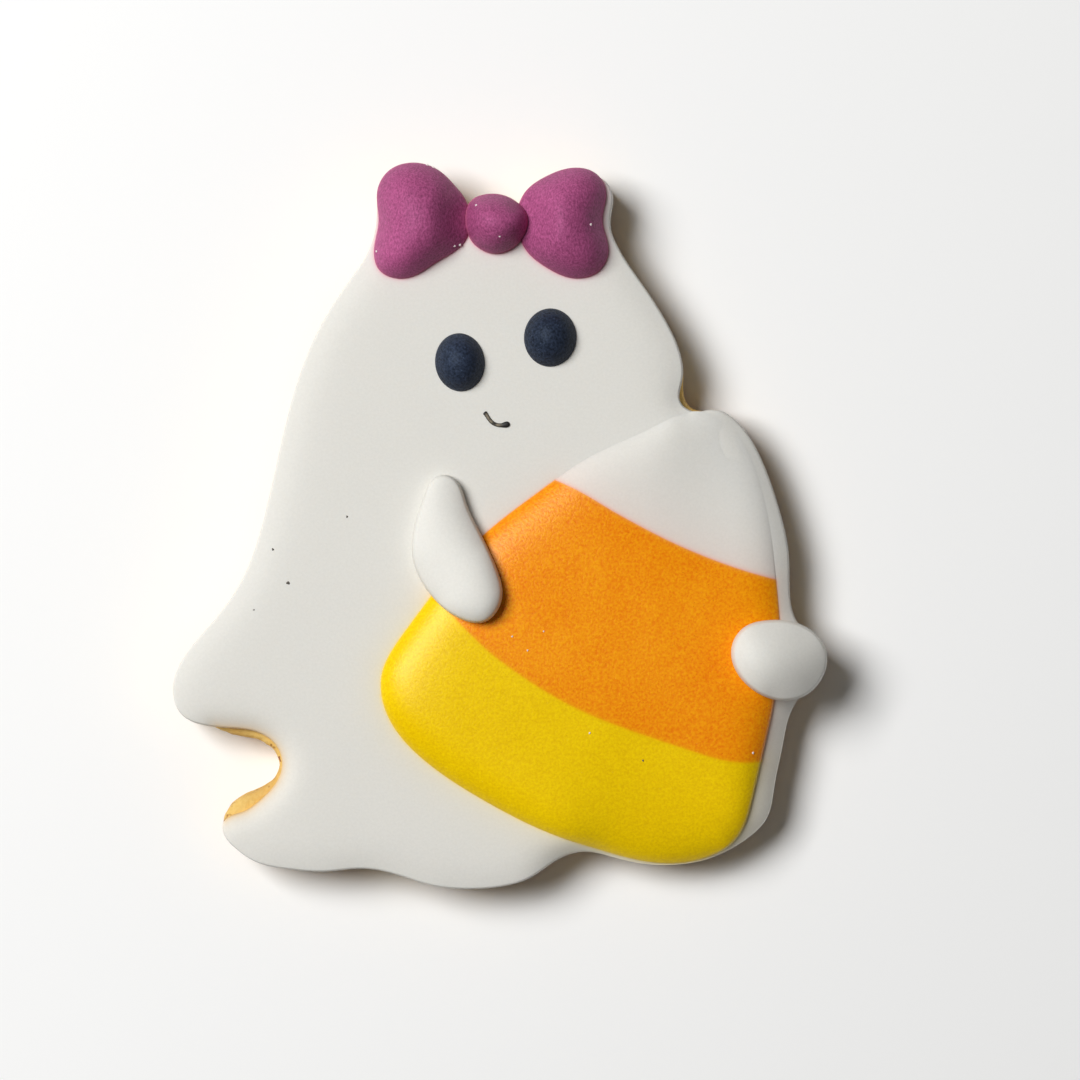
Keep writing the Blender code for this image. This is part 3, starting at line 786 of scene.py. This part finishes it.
def build_corn():
    """The sweet's three bands: patches between the outline and the two lines, all on one dome.

    The tip and the base are blends between a line and the outline's arc beyond it. The middle is the sum of the
    blends between its two pairs of sides, less the blend between its four corners.
    """
    outline, upper, lower = corn_lines()
    sweet = Pool(outline, on_ghost, SWEET, top_of("corn_middle"), share=thinner_tip, slump=upright_side)
    first = np.argmin(((outline - upper[0]) ** 2).sum(axis=1))
    outline = np.roll(outline, -first, axis=0)
    down_left, down_right, up_right = (
        np.argmin(((outline - end) ** 2).sum(axis=1)) for end in (lower[0], lower[-1], upper[-1])
    )
    left, right = outline[: down_left + 1], outline[down_right : up_right + 1][::-1]
    base_arc = outline[down_left : down_right + 1]
    tip_arc = np.vstack([outline[up_right:], outline[:1]])[::-1]
    a = crowded(BAND_COLUMNS)
    ends = ((left[0], right[0]), (left[-1], right[-1]))
    upper, lower = (
        along(line, a) + (1 - a)[:, None] * (start - line[0]) + a[:, None] * (end - line[-1])
        for line, (start, end) in zip((upper, lower), ends)
    )
    b = crowded(BAND_ROWS)[:, None, None]
    tip = (1 - b) * along(tip_arc, a) + b * upper
    base = (1 - b) * lower + b * along(base_arc, a)
    over = a[None, :, None]
    sides = (1 - over) * along(left, b.ravel())[:, None] + over * along(right, b.ravel())[:, None]
    top_corners = (1 - over) * upper[0] + over * upper[-1]
    low_corners = (1 - over) * lower[0] + over * lower[-1]
    middle = (1 - b) * upper + b * lower + sides - (1 - b) * top_corners - b * low_corners
    bands = (
        ("sweet_tip", "corn_tip", tip, WHITE_TIP, "white_icing", {"from_orange": upper}),
        (
            "sweet_middle", "corn_middle", middle, ORANGE, "orange_icing",
            {"from_white": upper, "from_yellow": lower},
        ),
        ("sweet_base", "corn_base", base, YELLOW, "yellow_icing", {"from_orange": lower}),
    )
    for name, node, flat, material, slot, lines in bands:
        spots = flat.reshape(-1, 2)
        top = sweet.surface(spots).reshape(flat.shape[:2])
        low = on_ghost(spots).reshape(flat.shape[:2]) - SINK
        gaps = {attribute: gap_to(spots, line) for attribute, line in lines.items()}
        mesh = closed_slab(name, flat, top, low, gaps | {"depth": sweet.depth(spots)})
        in_place(name, mesh, material, slot, node)
    return sweet, {"from_orange": np.vstack([left, right]), "from_yellow": base_arc}


def crowded(count):
    """Shares from 0 to 1 that lie closer together towards both ends: (1 - cos(pi t)) / 2."""
    return (1 - np.cos(np.linspace(0, math.pi, count))) / 2


def smooth_step(x, low, high):
    """0 below low, 1 above high, and t * t * (3 - 2 t) between."""
    t = np.clip((x - low) / (high - low), 0, 1)
    return t * t * (3 - 2 * t)


def thinner_tip(points):
    """The sweet rises less towards its tip: 0.58 of it at y 10, and 0.42 on the tip's right."""
    return 1 - smooth_step(points[:, 1], -34, 10) * (0.42 + 0.16 * smooth_step(points[:, 0], 20, 32))


def upright_side(points):
    """The sweet ends in a wall half a millimetre higher on its lower right, and its tip has no rim at all."""
    wall = smooth_step(points[:, 0], 26, 34) * smooth_step(-points[:, 1], 12, 22)
    return SWEET["rim"] * smooth_step(points[:, 1], -12, 0) - 0.5 * wall


def thinner_arm(points):
    """The arm rises half as much at its upper end, past y 5, as below y -5."""
    return 1 - 0.5 * smooth_step(points[:, 1], -5, 5)


def slumped_side(points):
    """On the sweet's right, below it and where the biscuit is bare, the white coat slopes down to its edge.

    Up to 1.7 mm of its rim is gone there.
    """
    beside = smooth_step(points[:, 0], 27, 33) * (1 - 0.4 * smooth_step(points[:, 1], -24, -4))
    below = smooth_step(points[:, 0], 2, 14) * smooth_step(-points[:, 1], 41, 46)
    bare = 0.3 * np.exp(-((gap_to(points, bare_edge) / 1.8) ** 2))
    return 1.7 * np.max([beside, below, bare], axis=0)


def build_coat():
    """The white flood coat over the whole biscuit, which takes a little colour from what lies on it.

    Near the sweet and the bow, that colour is partly painted bounce light from them. Under the sweet the
    distances to the sweet's colours are less than nothing, so the colour there is full.
    """
    mesh = icing("flood_coat", ghost, GHOST_MIDDLE, COAT_ROWS, UPRIGHT)
    corners = np.empty(len(mesh.vertices) * 3)
    mesh.vertices.foreach_get("co", corners)
    spots = corners.reshape(-1, 3)[:, :2] / MM
    under = 2 * gap_to(spots, sweet.edge) * (sweet.depth(spots) > 0)
    for attribute, line in sweet_edges.items():
        keep(mesh, attribute, gap_to(spots, line) - under)
    plum = [(np.where(part.depth(spots) > 0, -1, 1) * gap_to(spots, part.edge)) for part in (*lobes, knot)]
    keep(mesh, "from_plum", np.min(plum, axis=0))
    keep(mesh, "from_biscuit", gap_to(spots, bare_edge))
    in_place("flood_coat", mesh, WHITE_COAT, "white_icing", "ghost_icing")


build_biscuit()
biscuit_top = top_of("biscuit")
coat_edge = edge_of("ghost_icing", COOKIE_STEP)
# The part of the coat's edge, in the hem's bay, that is set back from the biscuit's.
bare_edge = coat_edge[(gap_to(coat_edge, edge_of("biscuit", DENSE_STEP)) > 0.25) & (coat_edge[:, 0] < 0)]
ghost = Pool(
    coat_edge, lambda points: np.full(len(points), biscuit_top), FLOOD, top_of("ghost_icing"),
    slump=slumped_side,
)


def on_ghost(points):
    """What lies on the ghost: its surface, and past the top of its rim a level that runs straight on."""
    rim_level = biscuit_top + FLOOD["rim"] + 0.1 * ghost.rise - slumped_side(points)
    return np.maximum(ghost.surface(points, outside=rim_level), rim_level)


sweet, sweet_edges = build_corn()


def on_sweet(points):
    """What lies on the sweet, and beside it on the ghost."""
    return np.maximum(on_ghost(points), sweet.surface(points, outside=0))


def held_up(points):
    """What an arm lies on: past the coat's edge it keeps its own level."""
    return np.maximum(on_sweet(points), biscuit_top + HELD_LEVEL)


for name, node, kind, share in (
    ("left_arm", "arm_left", ARM, thinner_arm),
    ("right_hand", "hand_right", HAND, None),
):
    arm = Pool(edge_of(node, PIECE_STEP), held_up, kind, top_of(node), share=share)
    in_place(name, icing(name, arm, arm.edge.mean(axis=0), PIECE_ROWS), WHITE, "white_icing", node)

knot_edge = edge_of("bow_knot", PIECE_STEP)
knot_middle = knot_edge.mean(axis=0)
lobes = []


def pinched(points):
    """The bow's loops are drawn down to 0.3 of their rise where the knot ties them, within 3 mm of its middle."""
    away = np.hypot(*(points - knot_middle).T)
    return 0.3 + 0.7 * smooth_step(away, 3.0, 9.5)


for name, node in (("left_bow_loop", "bow_left"), ("right_bow_loop", "bow_right")):
    free = foot_print(node)
    free = run_of(free, gap_to(free, knot_edge) > 2 * CAD_GAP)
    lobe = Pool(smooth_loop(free, PIECE_STEP), on_ghost, LOBE, top_of(node), share=pinched)
    in_place(name, icing(name, lobe, lobe.edge.mean(axis=0), PIECE_ROWS), PLUM, "plum_icing", node)
    lobes.append(lobe)


def on_lobes(points):
    """What lies on the bow's two loops, and between them on the ghost."""
    return np.max([on_ghost(points), *(lobe.surface(points, outside=0) for lobe in lobes)], axis=0)


knot = Pool(knot_edge, on_lobes, KNOT, top_of("bow_knot"))
knot_mesh = icing("bow_tie_knot", knot, knot_middle, PIECE_ROWS)
in_place("bow_tie_knot", knot_mesh, PLUM, "plum_icing", "bow_knot")
build_coat()

for name, node in (("left_eye", "eye_left"), ("right_eye", "eye_right")):
    eye = Pool(edge_of(node, EYE_STEP), on_ghost, EYE, top_of(node))
    in_place(name, icing(name, eye, eye.edge.mean(axis=0), PIECE_ROWS), NAVY, "navy_icing", node)


def build_smile():
    """The mouth: a round line carried along a short curve on the face, thicker and darker at its ends, with a
    painted sheen along the top of its middle.
    """
    low, high = (np.array(corner)[:2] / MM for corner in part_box("smile"))
    thick = 0.6
    low, high = low + thick / 2, high - thick / 2
    # The line passes these places, as shares of its box, at those shares of its run.
    bends, at = np.array([(0.0, 1.0), (0.2, 0.42), (0.46, 0.02), (1.02, 0.1)]), (0, 0.36, 0.66, 1)
    t = np.linspace(0, 1, 90)
    path = np.stack([np.polyval(np.polyfit(at, column, 3), t) for column in bends.T], axis=1)
    path = low + path * (high - low)
    first_bead, last_bead = (np.exp(-(((t - middle) / 0.08) ** 2)) for middle in (0.07, 0.93))
    radius = thick / 2 * (0.86 + 0.5 * last_bead + 0.12 * first_bead)
    radius *= np.sqrt(np.clip(1 - np.maximum(np.abs(2 * t - 1) - 0.93, 0) ** 2 / 0.07**2, 0.02, 1))
    height = ghost.surface(path) + 0.1
    across = np.gradient(path, axis=0)
    across /= np.linalg.norm(across, axis=1)[:, None]
    across = np.stack([-across[:, 1], across[:, 0]], axis=1)
    turn = np.linspace(0, 2 * math.pi, 20, endpoint=False)
    flat = path[:, None] + (radius[:, None] * np.cos(turn))[..., None] * across[:, None]
    lift = height[:, None] + 0.6 * radius[:, None] * np.sin(turn)
    rows = np.dstack([flat, lift])
    ends = [(*path[i], height[i]) for i in (0, -1)]
    mesh = closed_rows("mouth", rows, *ends)
    # The painted sheen: along the top of the line, and left out near its ends.
    dark_ends = smooth_step(t, 0.05, 0.16) * (1 - smooth_step(t, 0.8, 0.88))
    painted_sheen = dark_ends[:, None] * smooth_step(np.sin(turn), 0.55, 0.95)
    keep(mesh, "painted_sheen", np.concatenate([painted_sheen.ravel(), [0, 0]]))
    outwards(mesh)
    in_place("mouth", mesh, LINE, "dark_line", "smile")


def outwards(mesh):
    """Turns a closed mesh's faces outwards."""
    whole = bmesh.new()
    whole.from_mesh(mesh)
    bmesh.ops.recalc_face_normals(whole, faces=whole.faces[:])
    whole.to_mesh(mesh)
    whole.free()


def build_specks(name, spots, surface, material, slot):
    """Specks of sugar that stuck to the icing: squashed balls with a lumpy outline, each (x, y, radius)."""
    whole = bmesh.new()
    turn = np.linspace(0, 2 * math.pi, 10, endpoint=False)
    rise = np.radians([-60, -30, 0, 30, 60])[:, None]
    for x, y, radius in spots:
        centre = np.array([x, y])
        level = surface(centre[None])[0]
        lumpy = radius * (1 + 0.18 * np.cos(3 * turn + 40 * x) + 0.12 * np.cos(2 * turn + 70 * y))
        across = lumpy * np.cos(rise)
        tall = 0.7 * radius
        heights = level + 0 * turn + tall * np.sin(rise)
        rows = np.dstack([x + across * np.cos(turn), y + across * np.sin(turn), heights])
        piece = closed_rows("speck", rows, (x, y, level - tall), (x, y, level + tall))
        whole.from_mesh(piece)
        bpy.data.meshes.remove(piece)
    mesh = bpy.data.meshes.new(name)
    whole.to_mesh(mesh)
    whole.free()
    mesh.shade_smooth()
    in_place(name, mesh, material, slot)


build_smile()
build_specks(
    "specks_on_coat", ((-31.1, -3.2, 0.17), (-29.0, -7.8, 0.24), (-20.9, 1.3, 0.15), (-33.7, -11.5, 0.12)),
    ghost.surface, DARK_SPECK, "white_icing",
)
build_specks(
    "specks_on_left_loop",
    ((-9.9, 49.6, 0.2), (-9.1, 49.3, 0.2), (-6.1, 38.4, 0.17), (-5.4, 38.6, 0.2), (-16.8, 37.7, 0.17)),
    lobes[0].surface, PALE_SPECK, "white_icing",
)
build_specks("specks_on_right_loop", ((12.5, 41.2, 0.2),), lobes[1].surface, PALE_SPECK, "white_icing")
build_specks("specks_on_knot", ((-3.1, 43.9, 0.17), (0.1, 39.5, 0.14)), knot.surface, PALE_SPECK, "white_icing")
build_specks(
    "specks_on_sweet",
    ((1.8, -15.1, 0.14), (3.9, -17.0, 0.14), (34.8, -31.1, 0.17), (6.1, -14.4, 0.12), (12.4, -28.3, 0.15)),
    sweet.surface, PALE_SPECK, "white_icing",
)
build_specks("dark_speck_on_sweet", ((19.7, -32.1, 0.14),), sweet.surface, DARK_SPECK, "white_icing")


# ---------------------------------------------------------------- the studio


def stage():
    """A pale floor, one big soft key light from the left, a weak fill and a camera that looks straight down."""
    bpy.ops.mesh.primitive_plane_add(size=6, location=(0, 0, cad_low.z - 0.0002))
    floor = bpy.context.object
    floor.name = "floor"
    material, _, shader = new_material("pale_floor")
    shader.inputs["Base Color"].default_value = to_linear(250, 250, 249)
    shader.inputs["Roughness"].default_value = 0.9
    floor.data.materials.append(material)
    for name, power, size, place in (
        ("key", 13.6, 0.53, (-0.561, 0.289, 0.901)),
        ("fill", 0.15, 0.8, (0.3, -0.3, 0.7)),
    ):
        light = bpy.data.lights.new(name, "AREA")
        light.energy, light.size = power, size
        lamp = bpy.data.objects.new(name, light)
        lamp.location = place
        lamp.rotation_euler = (-lamp.location).to_track_quat("-Z", "Y").to_euler()
        bpy.context.scene.collection.objects.link(lamp)
    world = bpy.data.worlds.new("studio")
    world.use_nodes = True
    world.node_tree.nodes["Background"].inputs["Color"].default_value = (1, 1, 1, 1)
    world.node_tree.nodes["Background"].inputs["Strength"].default_value = 0.06
    bpy.context.scene.world = world
    bpy.context.scene.view_settings.view_transform = "Standard"
    camera = bpy.data.cameras.new("camera")
    camera.sensor_width = 36
    camera.lens = camera.sensor_width * VIEW_HEIGHT / VIEW_WIDTH
    camera.clip_start, camera.clip_end = 0.05, 10
    eye = bpy.data.objects.new("camera", camera)
    eye.location = (VIEW_CENTRE[0] * MM, VIEW_CENTRE[1] * MM, (VIEW_LEVEL + VIEW_HEIGHT) * MM)
    bpy.context.scene.collection.objects.link(eye)
    bpy.context.scene.camera = eye


stage()
